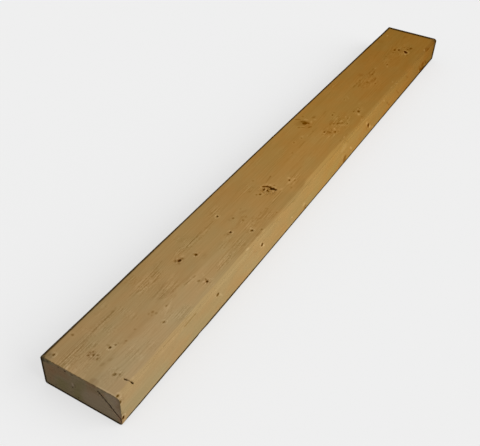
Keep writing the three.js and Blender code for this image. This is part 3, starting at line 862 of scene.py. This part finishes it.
class Nodes:
    """Makes and joins shader nodes. What goes into one is a number, a colour or a Value."""

    def __init__(self, tree):
        self.tree = tree
        tree.nodes.clear()

    def node(self, kind, inputs=(), **settings):
        """A new node. Its inputs are given by name or by number."""
        node = self.tree.nodes.new(kind)
        for name, value in settings.items():
            setattr(node, name, value)
        for name, value in dict(inputs).items():
            if isinstance(value, Value):
                self.tree.links.new(value.socket, node.inputs[name])
            else:
                node.inputs[name].default_value = value
        return node

    def add(self, kind, inputs=(), output=0, **settings):
        """A new node's output."""
        return Value(self, self.node(kind, inputs, **settings).outputs[output])

    def math(self, operation, *values):
        return self.add("ShaderNodeMath", enumerate(values), operation=operation)

    def most(self, first, *others):
        """The greatest of several values."""
        for other in others:
            first = self.math("MAXIMUM", first, other)
        return first

    def vector(self, operation, *values, output="Vector"):
        return self.add("ShaderNodeVectorMath", enumerate(values), output, operation=operation)

    def scaled(self, vector, scale):
        return self.add("ShaderNodeVectorMath", {0: vector, "Scale": scale}, operation="SCALE")

    def joined(self, x, y, z):
        return self.add("ShaderNodeCombineXYZ", enumerate((x, y, z)))

    def parts(self, vector):
        node = self.node("ShaderNodeSeparateXYZ", {"Vector": vector})
        return [Value(self, socket) for socket in node.outputs]

    def power(self, colour, exponent):
        return self.add("ShaderNodeGamma", {"Color": colour, "Gamma": exponent})

    def noise(self, place, size, detail=2.0, rough=0.5, output=0):
        """Noise from 0 to 1 with features of this size, or (x, y, z) sizes, in mm."""
        sizes = size if isinstance(size, tuple) else (size, size, size)
        spread = self.vector("DIVIDE", place, sizes)
        inputs = {"Vector": spread, "Scale": 1.0, "Detail": detail, "Roughness": rough}
        return self.add("ShaderNodeTexNoise", inputs, output)

    def step(self, value, low, high, to_low=0.0, to_high=1.0):
        """to_low up to low, to_high from high, and smooth between."""
        inputs = enumerate((value, low, high, to_low, to_high))
        return self.add("ShaderNodeMapRange", inputs, interpolation_type="SMOOTHSTEP")

    def colour(self, share, first, second):
        """The first colour, with a share of the second over it."""
        inputs = {MIX_SHARE: share, MIX_FIRST: first, MIX_SECOND: second}
        return self.add("ShaderNodeMix", inputs, MIX_RESULT, data_type="RGBA", clamp_factor=True)

    def mixed(self, share, first, second):
        """The first shader, with a share of the second over it."""
        return self.add("ShaderNodeMixShader", enumerate((share, first, second)))

    def ramp(self, value, stops):
        """A colour that runs straight between stops of (position, colour)."""
        node = self.node("ShaderNodeValToRGB", {"Fac": value})
        elements = node.color_ramp.elements
        while len(elements) < len(stops):
            elements.new(0.5)
        for element, (position, colour) in zip(elements, stops):
            element.position = position
            element.color = colour
        return Value(self, node.outputs[0])

    def between(self, x, stops):
        """A value that runs straight between stops of (x, value); x from 0 to the length."""
        most = max(value for _, value in stops)
        greys = [(at / LENGTH, [value / most] * 3 + [1]) for at, value in stops]
        return self.ramp(x / LENGTH, greys) * most

    def seen_directly(self):
        """1 for what the camera sees straight, in a reflection or through glass."""
        path = self.node("ShaderNodeLightPath").outputs
        rays = ("Is Glossy Ray", "Is Transmission Ray", "Is Camera Ray")
        return self.most(*[Value(self, path[ray]) for ray in rays])

    def field(self, name):
        return self.add("ShaderNodeAttribute", output="Fac", attribute_name=name)


def new_material(name):
    """A material, and its nodes."""
    material = bpy.data.materials.new(name)
    material.use_nodes = True
    return material, Nodes(material.node_tree)


# ---- the timber

# The tree's middle lies under the plank. It leans and wanders, so rings leave the top face in
# long tongues.
PITH_Y, PITH_Z, PITH_LEAN, PITH_WANDER = -5.0, -9.0, 0.012, 14.0
RING_WIDTH = 1.15
# The patterns in the wood: how long their features are in mm, or along x, y and z, then how much
# finer detail they have and how strong it is.
FIBRE, COARSE = ((50, 0.9, 0.9), 3.0, 0.6), ((120, 3.2, 3.2), 2.0, 0.55)
FLECK, SPECK = ((16, 0.85, 0.85), 2.0, 0.55), (1.5, 0.0)
BLOTCH, WARMTH = [(46, 17, 17)], [(44, 22, 22)]
PORES, SAW, KNOT_RIM = ((2.0, 0.5, 0.5), 2.0, 0.6), [(30, 30, 1.3)], [1.2]
# These two make the painted shade along the arrises ragged and patchy.
ARRIS_SHADE_RIM, ARRIS_SHADE_PATCH = [(7, 3, 3)], [(40, 6, 6)]
# How far off the warmth is taken in the noise, so that it doesn't follow the blotches.
WARMTH_APART = (300.0, 0.0, 40.0)
# How much coarse grain, blotches and rings vary the tone, in shown steps.
COARSE_STEP, BLOTCH_STEP, BAND_STEP = 0.020, 0.016, 0.018
# How dark rings and thin lines are.
RING_SHADE, LINE_SHADE = 0.10, 0.60
# How high rings, fibres, torn flecks and saw marks stand, and how deep thin lines lie, in mm.
RING_RISE, FIBRE_RISE, FLECK_RISE, SAW_RISE, LINE_DROP = 0.05, 0.06, 0.25, 0.3, 0.12
# How dull the surface is, and what coarse grain and a sawn end add to that.
ROUGHNESS, COARSE_GLOSS_LOSS, END_GLOSS_LOSS, SPECULAR = 0.58, 0.2, 0.15, 0.0
BUMP_STRENGTH = 0.9

# How the wood's colour runs from the weathered split end to the sound end: first on most of the
# plank, then on the right-hand edge with the arris and the strip above it, which is painted light
# as if lit like that edge, and then where the top face has gone pale.
LENGTHWISE = [
    (0, srgb(152, 126, 86)), (0.25, srgb(156, 124, 75)), (0.45, srgb(156, 117, 59)),
    (0.6, srgb(154, 113, 52)), (0.8, srgb(147, 105, 45)), (1, srgb(140, 100, 39)),
]
EDGE_LENGTHWISE = [
    (0, srgb(156, 133, 94)), (0.25, srgb(165, 136, 89)), (0.5, srgb(162, 126, 67)),
    (0.75, srgb(151, 111, 52)), (1, srgb(128, 88, 32)),
]
WEATHERED = [
    (0, srgb(176, 155, 120)), (0.18, srgb(178, 151, 108)), (0.36, srgb(176, 142, 88)),
    (0.52, srgb(170, 132, 72)), (0.7, srgb(166, 124, 64)),
]
# The grey of the corners' dirt and painted shade, and the colour of the painted shade along the
# arrises.
DIRT_AND_SHADE_COLOUR, ARRIS_SHADE_COLOUR = srgb(58, 50, 30), srgb(44, 31, 6)

# The next ones run along the plank too, as stops of x and a value.
# How much the fibres vary the tone, in shown steps.
FIBRE_STEP = [(0, 0.05), (120, 0.06), (240, 0.085), (420, 0.085), (520, 0.06), (640, 0.045)]
# How wide the painted shade along the arrises spreads, as a multiple of its measured reach.
ARRIS_SHADE_SPREAD = [(0, 1.2), (100, 1.15), (250, 0.95), (420, 0.92), (878, 1.45), (880, 0.45)]
# Where across the top, as v, the right-hand edge's colour starts to show and where it is full.
# On that strip of the top face the edge's colour, brightened, is painted light.
EDGE_TONE_FROM = [
    (0, 82.8), (262, 82.6), (276, 82), (360, 82.5), (372, 80.6), (455, 81), (485, 81),
    (535, 82), (620, 82.5), (880, 81),
]
EDGE_TONE_FULL = [
    (0, 84.2), (24, 84.2), (34, 86), (58, 86), (66, 84.4), (262, 84.4), (276, 87),
    (360, 87), (372, 82.8), (455, 83), (485, 86.5), (880, 86.5),
]
# How bright the strip above the right-hand edge is painted beside that edge, as painted light, and
# then how dark the arris itself is painted, as painted shade that takes off its highlight.
PAINTED_STRIP_LIGHT = [(0, 1.25), (220, 1.23), (330, 1.18), (440, 1.18), (560, 1.12), (880, 1.06)]
PAINTED_ARRIS_SHADE = [(0, 0.93), (540, 0.92), (640, 0.86), (880, 0.84)]
# Colours are mixed as they are shown, with this gamma. There a unit of light or shade takes the
# same step from red, green and blue; a stain and a change of hue take uneven ones. The last is
# the darkest that plain wood gets.
SHOWN = 2.2
LIGHT_STEP = [(0, 0.12), (340, 0.12), (400, 0.18)]
SHADE_STEP = 0.29
STAIN_STEP = (0.14, 0.155, 0.13)
HUE_STEP = (0.007, -0.004, -0.007)
DEEPEST = (0.19, 0.065, 0.0)

# Thin dark lines along the grain: from x, to x, v at each end, half width, strength.
TOP_STREAKS = [
    (-4, 84, 21.9, 21.2, 0.4, 0.5), (0, 38, 24.8, 24.5, 0.35, 0.22),
    (0, 36, 27.4, 27.2, 0.35, 0.18), (2, 40, 30, 29.7, 0.35, 0.2), (6, 34, 33, 32.8, 0.35, 0.14),
    (6, 34, 37.6, 37.2, 0.4, 0.18), (98, 150, 21.9, 21.4, 0.45, 0.34),
    (146, 161, 20.6, 18.8, 0.5, 0.36), (100, 144, 24.2, 24, 0.35, 0.16),
    (104, 136, 30.4, 30.6, 0.35, 0.12), (110, 140, 41.6, 42, 0.6, 0.2),
    (110, 134, 47.8, 49.6, 0.6, 0.25), (108, 128, 59.8, 59.4, 0.5, 0.22),
    (142, 158, 58, 60.2, 0.6, 0.34), (177, 190, 25.4, 27.4, 0.45, 0.34),
    (187, 246, 27.9, 28.9, 0.45, 0.42), (200, 230, 32.6, 32.8, 0.45, 0.24),
    (176, 212, 75.2, 75, 0.45, 0.34), (180, 196, 72.6, 72.2, 0.35, 0.24),
    (190, 212, 77.8, 77.6, 0.35, 0.22), (214, 232, 75.6, 73.6, 0.35, 0.22),
    (250, 266, 20.2, 20, 0.4, 0.26), (254, 264, 23, 22.8, 0.35, 0.2),
    (246, 262, 70.4, 69.2, 0.45, 0.26), (266, 298, 70, 69.6, 0.4, 0.22),
    (248, 262, 81.4, 81.4, 0.45, 0.22), (280, 298, 81.8, 81.6, 0.35, 0.18),
    (318, 338, 66.2, 66, 0.4, 0.34), (308, 338, 69, 68.8, 0.4, 0.28),
    (345, 400, 64.4, 64.2, 0.5, 0.2), (348, 374, 71.4, 71, 0.5, 0.2),
    (340, 358, 43.8, 41.2, 0.6, 0.28), (432, 454, 42.8, 41.6, 0.9, 0.2),
    (464, 496, 40.4, 40.4, 0.8, 0.16), (628, 662, 37, 35.6, 0.9, 0.16),
]
# Thin light lines, in the same way.
TOP_LIGHT_STREAKS = [
    (0, 80, 20.2, 19.7, 0.35, 0.2), (0, 60, 23.4, 23, 0.35, 0.16), (2, 36, 28.6, 28.4, 0.3, 0.16),
    (112, 150, 19.9, 19.6, 0.4, 0.3), (114, 146, 23.2, 22.8, 0.35, 0.24),
    (176, 190, 23.4, 25.2, 0.4, 0.3), (190, 232, 30.2, 30.6, 0.45, 0.42),
    (190, 206, 26.2, 26.4, 0.35, 0.26), (181, 212, 73.7, 73.4, 0.4, 0.34),
    (182, 198, 76.6, 76.2, 0.35, 0.3), (216, 232, 77.2, 75, 0.35, 0.24),
    (256, 286, 67.8, 68.2, 0.45, 0.3), (254, 266, 21.6, 21.4, 0.35, 0.3),
    (312, 340, 67.2, 67.8, 0.5, 0.55), (464, 486, 83, 83.4, 0.6, 0.24),
]
# Dark lines on the right-hand edge, by x and down.
EDGE_STREAKS = [(96, 119, 1.2, 1.1, 0.55, 0.5), (96, 112, 4, 4, 0.4, 0.14)]


def growth_rings(n, place, x):
    """The late wood, the rings as they show, and each ring's own tone."""
    wander = n.noise(place, (260, 70, 70), 1.5, 0.4, NOISE_COLOUR)
    wander = n.vector("SUBTRACT", wander, (0.5, 0.5, 0.5))
    _, y, z = n.parts(n.vector("MULTIPLY_ADD", wander, (0.0, PITH_WANDER, PITH_WANDER), place))
    aside, above = y - PITH_Y, z - PITH_Z - x * PITH_LEAN
    radius = n.vector("LENGTH", n.joined(0.0, aside, above), output="Value")
    steep = abs(aside) / radius
    radius = radius + n.field("ring_shift")
    ring = n.noise(n.joined(radius, 0.0, 0.0), 9.0, 1.0) * 2.4 + radius / RING_WIDTH
    part = n.math("FRACT", ring)
    late = n.step(part, 0.40, 0.90) * n.step(part, 0.90, 1.0, 1.0, 0.0)
    # They show best where they are cut steeply.
    contrast = n.step(n.noise(place, (90, 12, 12)), 0.42, 0.66, 0.25, 1.0)
    contrast = contrast * n.step(steep, 0.12, 0.45, 0.3, 1.0)
    return late, late * contrast, n.noise(n.joined(ring, 0.0, 3.0), 3.4)


def streak_mask(n, streaks, x, across, on_face):
    """The strongest of the thin lines at each point of a face."""
    total = 0.0
    for start, end, first, last, half, strength in streaks:
        slope = (last - first) / (end - start)
        away = abs(across - ((x - start) * slope + first))
        past, reach = abs(x - (start + end) / 2), (end - start) / 2
        line = n.step(away, half * 0.3, half * 1.5, strength, 0.0)
        total = n.most(total, line * n.step(past, reach * 0.8, reach, 1.0, 0.0))
    return total * on_face


class Wood:
    """Places on the plank, and the patterns and marks that several of its looks share."""

    def __init__(self, n):
        place = n.scaled(n.add("ShaderNodeTexCoord", output="Object"), 1 / MM)
        x, y, z = n.parts(place)
        _, left, upper = HIGH.tolist()
        self.place, self.x = place, x - float(LOW[0])
        self.v, self.down = left - y, upper - z
        self.on_top = n.step(self.down, 0.5, 2.5, 1.0, 0.0)
        self.on_edge = n.step(self.v, WIDTH - 3.0, WIDTH - 1.5)

        self.late, self.rings, self.bands = growth_rings(n, place, self.x)
        self.fibre = n.noise(place, *FIBRE)
        self.coarse = n.noise(place, *COARSE)
        self.blotch = n.noise(place, *BLOTCH)
        self.fleck = n.noise(place, *FLECK) * 0.75 + n.noise(place, *SPECK) * 0.25
        self.rough = n.step(self.blotch, 0.4, 0.7) * 0.2 + n.field("roughness")

        self.end_grain, self.dirt_and_shade = n.field("end_grain"), n.field("dirt_and_shade")
        self.dark, self.cavity = n.field("knot_dark"), n.field("cavity")
        self.off_knot = n.field("knot_rim") + (n.noise(place, *KNOT_RIM) - 0.5)
        self.core = n.step(self.off_knot, -0.4, 0.6, 1.05, 0.0) * self.dark ** 1.4
        on_top = streak_mask(n, TOP_STREAKS, self.x, self.v, self.on_top)
        on_edge = streak_mask(n, EDGE_STREAKS, self.x, self.down, self.on_edge)
        self.lines = n.most(on_top, on_edge) * n.step(self.fibre, 0.35, 0.6, 0.75, 1.0)


def light_marks(n, wood):
    """How light each point is: torn up fibres, pale lines, raised grain and swollen rims."""
    torn_up = n.step(wood.fleck, 0.50, 0.62, 0.0, 0.52) * wood.rough
    lines = streak_mask(n, TOP_LIGHT_STREAKS, wood.x, wood.v, wood.on_top)
    lines = lines * n.step(wood.fibre, 0.35, 0.6, 0.7, 1.0)
    raised = n.field("lighten") * n.step(wood.fleck, 0.25, 0.55, 0.6, 1.0)
    # The wood swells up, pale and clean, just outside each dark knot.
    swollen = n.step(wood.off_knot, 0.8, 1.4) * n.step(wood.off_knot, 2.2, 3.4, 1.0, 0.0)
    swollen = swollen * wood.dark ** 2.0 * n.step(wood.fleck, 0.44, 0.60, 0.1, 0.8)
    return n.most(torn_up, lines, raised, swollen)


def dark_marks(n, wood):
    """How dark each point is: rings, torn out fibres, thin lines, knots, and painted shade in
    hollows.
    """
    torn_out = n.step(wood.fleck, 0.50, 0.38, 0.0, 0.24) * wood.rough
    around = n.step(wood.off_knot, 0.0, 1.3, 0.25, 0.0) * wood.dark
    # Painted shade: open knots, the crescent and the cracks are darker the deeper they go.
    hollow = n.step(wood.cavity, 0.3, 1.7, 0.0, 1.3)
    knots = n.most(around, wood.core, hollow)
    return wood.rings * RING_SHADE + torn_out + wood.lines * LINE_SHADE + knots


def wood_tone(n, wood):
    """How much lighter each point is than the slow run of colour, in shown steps."""
    tone = (wood.fibre - 0.5) * n.between(wood.x, FIBRE_STEP)
    for pattern, reach in [
        (wood.coarse, COARSE_STEP), (wood.blotch, BLOTCH_STEP), (wood.bands, BAND_STEP),
    ]:
        tone = tone + (pattern - 0.5) * reach
    tone = tone + light_marks(n, wood) * n.between(wood.x, LIGHT_STEP)
    return tone - dark_marks(n, wood) * SHADE_STEP


def base_colour(n, wood):
    """The slow run of colour along the plank, and the edge, painted-light strip and painted-shade
    arris on its right.
    """
    along = wood.x / LENGTH
    base = n.colour(n.field("pale"), n.ramp(along, LENGTHWISE), n.ramp(along, WEATHERED))
    wavy = n.noise(n.joined(wood.x, 0.0, 0.0), 24.0) * 1.6 + wood.v - 0.8
    share = n.step(wavy, n.between(wood.x, EDGE_TONE_FROM), n.between(wood.x, EDGE_TONE_FULL))
    # Painted light on the strip above the right-hand edge, and painted shade on the arris.
    over = wood.v + (wood.down - WIDTH)
    painted_level = n.step(over, -3.4, -0.2, n.between(wood.x, PAINTED_STRIP_LIGHT), n.between(wood.x, PAINTED_ARRIS_SHADE))
    painted_level = n.step(over, 0.4, 3.0, painted_level, 1.0)
    return n.colour(share, base, n.scaled(n.ramp(along, EDGE_LENGTHWISE), painted_level))


def side_colour(n, wood):
    """The long faces' colour, with light, shade, stains, warmth, and dirt and painted shade over
    the slow run.
    """
    tone = wood_tone(n, wood)
    stained = n.field("stain") * n.step(wood.coarse, 0.2, 0.7, 0.7, 1.0)
    warmth = n.noise(n.vector("ADD", wood.place, WARMTH_APART), *WARMTH)
    swing = n.step(warmth, 0.3, 0.7, -1.0, 1.0) * n.step(wood.down, 12, 30, 1.0, 1.9)
    colour = n.power(base_colour(n, wood), 1 / SHOWN)
    colour = n.vector("ADD", colour, n.joined(tone, tone, tone))
    colour = n.vector("SUBTRACT", colour, n.scaled(STAIN_STEP, stained))
    colour = n.vector("ADD", colour, n.scaled(HUE_STEP, swing))
    colour = n.power(n.vector("MAXIMUM", colour, DEEPEST), SHOWN)
    # Grey dirt and painted shade on the corners.
    return n.colour(wood.dirt_and_shade, colour, DIRT_AND_SHADE_COLOUR)


def end_colour(n, wood):
    """End grain, which soaks up dirt, and shows the rings, the tints, and the split and a corner in
    painted shade.
    """
    tint = n.field("end_tint")
    colour = srgb(144, 128, 99)
    for share, layer in [
        (wood.late * 0.35, srgb(106, 88, 61)),
        (tint, srgb(152, 104, 70)),
        (tint * -1.0, srgb(118, 114, 60)),
        (n.field("end_pale"), srgb(166, 146, 124)),
        (n.step(n.noise(wood.place, *PORES), 0.35, 0.75, 0.3, 0.0), srgb(74, 58, 40)),
        # Grey dirt and painted shade on the corner.
        (wood.dirt_and_shade, srgb(60, 56, 42)),
        (wood.core * 0.9, srgb(54, 34, 14)),
        # Painted shade in the split, darker the deeper it is.
        (n.step(wood.cavity, 0.3, 1.1), srgb(44, 26, 6)),
    ]:
        colour = n.colour(share, colour, layer)
    return colour


def arris_shade(n, wood):
    """Painted shade along the edges of the box, as a thin ragged dark line each side of them."""
    x, v, down = wood.x, wood.v, wood.down
    sides = ((abs(x), LENGTH - x), (v, WIDTH - v), (down, THICK - down))
    near = [n.math("MINIMUM", *pair) for pair in sides]
    nearest = n.joined(*near)
    squares = n.vector("DOT_PRODUCT", nearest, nearest, output="Value") - n.most(*near) ** 2.0
    from_edge = n.math("SQRT", n.most(squares, 0.0))
    reach = n.field("painted_shade_reach") * n.between(x, ARRIS_SHADE_SPREAD)
    inside = reach - from_edge - n.noise(wood.place, *ARRIS_SHADE_RIM)
    patchy = n.step(n.noise(wood.place, *ARRIS_SHADE_PATCH), 0.40, 0.60, 0.2, 0.9)
    return n.step(inside, -0.6, 0.8, 0.0, 0.9) * n.step(v, 0.2, 0.6, patchy, 1.0)


def fine_relief(n, wood):
    """The finest relief, in mm, which is drawn as bump."""
    height = wood.rings * RING_RISE + wood.fibre * FIBRE_RISE + wood.fleck * wood.rough * FLECK_RISE
    return height + n.noise(wood.place, *SAW) * wood.end_grain * SAW_RISE - wood.lines * LINE_DROP


def timber_material():
    """Softwood, drawn from its rings, its fibres and the measured marks."""
    material, n = new_material("timber")
    wood = Wood(n)
    colour = n.colour(wood.end_grain, side_colour(n, wood), end_colour(n, wood))
    bump = {"Height": fine_relief(n, wood), "Distance": MM, "Strength": BUMP_STRENGTH}
    n.node("ShaderNodeOutputMaterial", {"Surface": n.add("ShaderNodeBsdfPrincipled", {
        # Painted shade along the arrises goes over the wood's colour.
        "Base Color": n.colour(arris_shade(n, wood), colour, ARRIS_SHADE_COLOUR),
        "Roughness": wood.coarse * COARSE_GLOSS_LOSS + wood.end_grain * END_GLOSS_LOSS + ROUGHNESS,
        "Normal": n.add("ShaderNodeBump", bump),
        "Specular IOR Level": SPECULAR,
    })})
    return material


# ---- floor, light and camera

FLOOR_METRES = 8.0
PALE = srgb(239, 239, 239)
FLOOR_BOUNCE = srgb(150, 150, 150)
# How much of the floor's look is light and shadow; the rest is plain and pale.
SHADOW_SHARE = 0.3
SKY_COLOUR, SKY_LEVEL = [1, 1, 1, 1], 0.60
SUN_ANGLE, SUN_STRENGTH = math.radians(60), 2.75
SUN_FROM = Vector((0.20, -0.83, 0.44))


def pale_floor():
    """A floor that looks pale to the camera, but throws back less light on to the plank."""
    half = FLOOR_METRES / 2
    mesh = bpy.data.meshes.new("floor")
    corners = [(-half, -half, 0), (half, -half, 0), (half, half, 0), (-half, half, 0)]
    mesh.from_pydata(corners, [], [(0, 1, 2, 3)])
    material, n = new_material("floor")
    lit = n.add("ShaderNodeBsdfDiffuse", {"Color": PALE})
    plain = n.add("ShaderNodeEmission", {"Color": PALE, "Strength": 1.0})
    shown = n.mixed(SHADOW_SHARE, plain, lit)
    bounced = n.add("ShaderNodeBsdfDiffuse", {"Color": FLOOR_BOUNCE})
    both = n.mixed(n.seen_directly(), bounced, shown)
    n.node("ShaderNodeOutputMaterial", {"Surface": both})
    mesh.materials.append(material)
    return add_object("floor", mesh)


def soft_light():
    """An even pale sky, and one broad lamp from the right-hand side."""
    world = bpy.data.worlds.new("studio")
    bpy.context.scene.world = world
    world.use_nodes = True
    n = Nodes(world.node_tree)
    sky = n.add("ShaderNodeBackground", {"Color": SKY_COLOUR, "Strength": SKY_LEVEL})
    shown = n.add("ShaderNodeBackground", {"Color": PALE, "Strength": 1.0})
    n.node("ShaderNodeOutputWorld", {"Surface": n.mixed(n.seen_directly(), sky, shown)})
    lamp = bpy.data.lights.new("broad_lamp", "SUN")
    lamp.energy = SUN_STRENGTH
    lamp.angle = SUN_ANGLE
    sun = add_object("broad_lamp", lamp)
    sun.rotation_mode = "QUATERNION"
    sun.rotation_quaternion = SUN_FROM.to_track_quat("Z", "Y")


# The camera, solved from the plank's outline: focal length in pixels of a frame this wide, place
# in mm, and angles in radians. Yaw turns left from looking along the plank, pitch looks down.
FRAME_WIDTH_PX, FOCAL_PX = 480, 673.9
CAMERA_PLACE = (-696.8, -286.1, 513.2)
CAMERA_YAW, CAMERA_PITCH, CAMERA_ROLL = 0.4905, 0.6835, -0.0559
SENSOR_MM = 36.0
NEAREST_METRES = 0.01


def photo_camera():
    """The camera that took the photograph."""
    data = bpy.data.cameras.new("camera")
    data.sensor_width = SENSOR_MM
    data.lens = FOCAL_PX / FRAME_WIDTH_PX * SENSOR_MM
    data.clip_start = NEAREST_METRES
    flat = math.cos(CAMERA_PITCH)
    east, north = flat * math.cos(CAMERA_YAW), flat * math.sin(CAMERA_YAW)
    ahead = Vector((east, north, -math.sin(CAMERA_PITCH)))
    level = ahead.cross(Vector((0, 0, 1))).normalized()
    upright = level.cross(ahead)
    c, s = math.cos(CAMERA_ROLL), math.sin(CAMERA_ROLL)
    right = c * level - s * upright
    up = s * level + c * upright
    camera = add_object("camera", data)
    turned = Matrix((right, up, -ahead)).transposed().to_4x4()
    camera.matrix_world = Matrix.Translation(Vector(CAMERA_PLACE) * MM) @ turned
    bpy.context.scene.camera = camera


# ---- the scene

bpy.context.scene.view_settings.view_transform = "Standard"
plank = build_plank()
plank.data.materials.append(timber_material())
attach(plank, "root")
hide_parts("plank")
pale_floor()
soft_light()
photo_camera()
